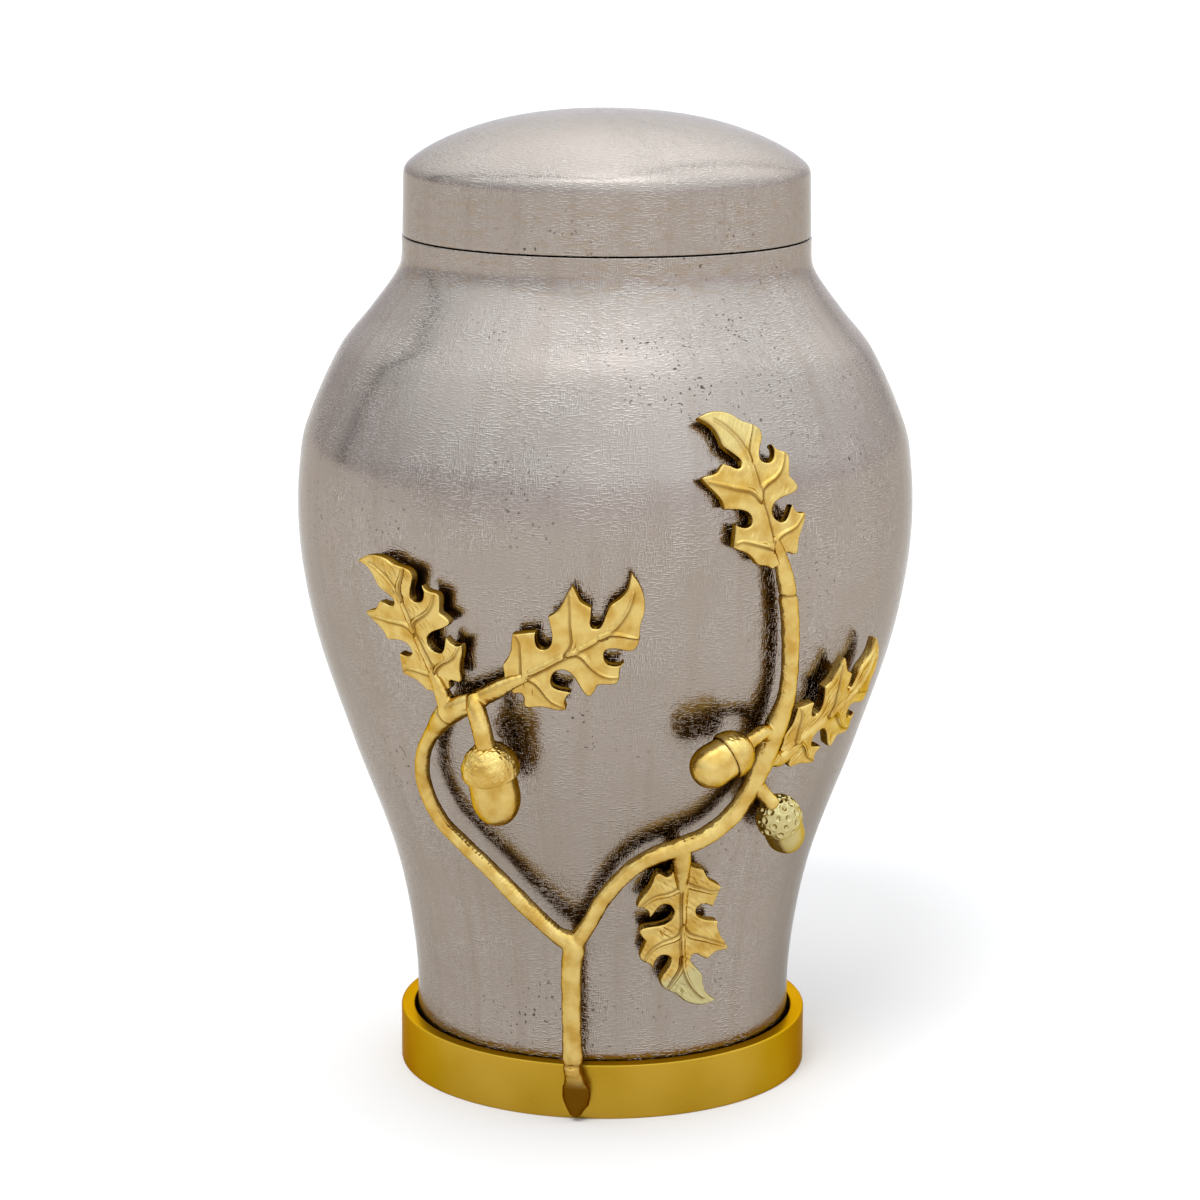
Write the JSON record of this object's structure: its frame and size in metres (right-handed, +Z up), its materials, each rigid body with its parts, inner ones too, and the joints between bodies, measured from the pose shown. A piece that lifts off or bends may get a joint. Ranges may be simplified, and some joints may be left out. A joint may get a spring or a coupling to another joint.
{
  "type": "urn",
  "caption": "Shouldered metal memorial urn with a lift-off domed lid, a brass base ring, and a cast oak branch with leaves and acorns climbing its front.",
  "frame": {"origin": "centre of the base ring's underside, on the vessel's axis", "axes": "+Z up the vessel's axis, -Y towards the front that carries the branch, +X to the right seen from the front"},
  "size_m": [0.1688, 0.1739, 0.266],
  "materials": {
    "base_ring": "satin, fine turned lines",
    "vessel": "nickel plated, cross-brushed like linen, semi-gloss",
    "lid": "nickel plated, cross-brushed like linen, semi-gloss",
    "oak_branch": "satin cast brass with a faint grain"
  },
  "bodies": {
    "root": {"base_ring": "base_ring", "vessel": "vessel", "lid": "lid", "oak_branch": "oak_branch"}
  },
  "joints": []
}
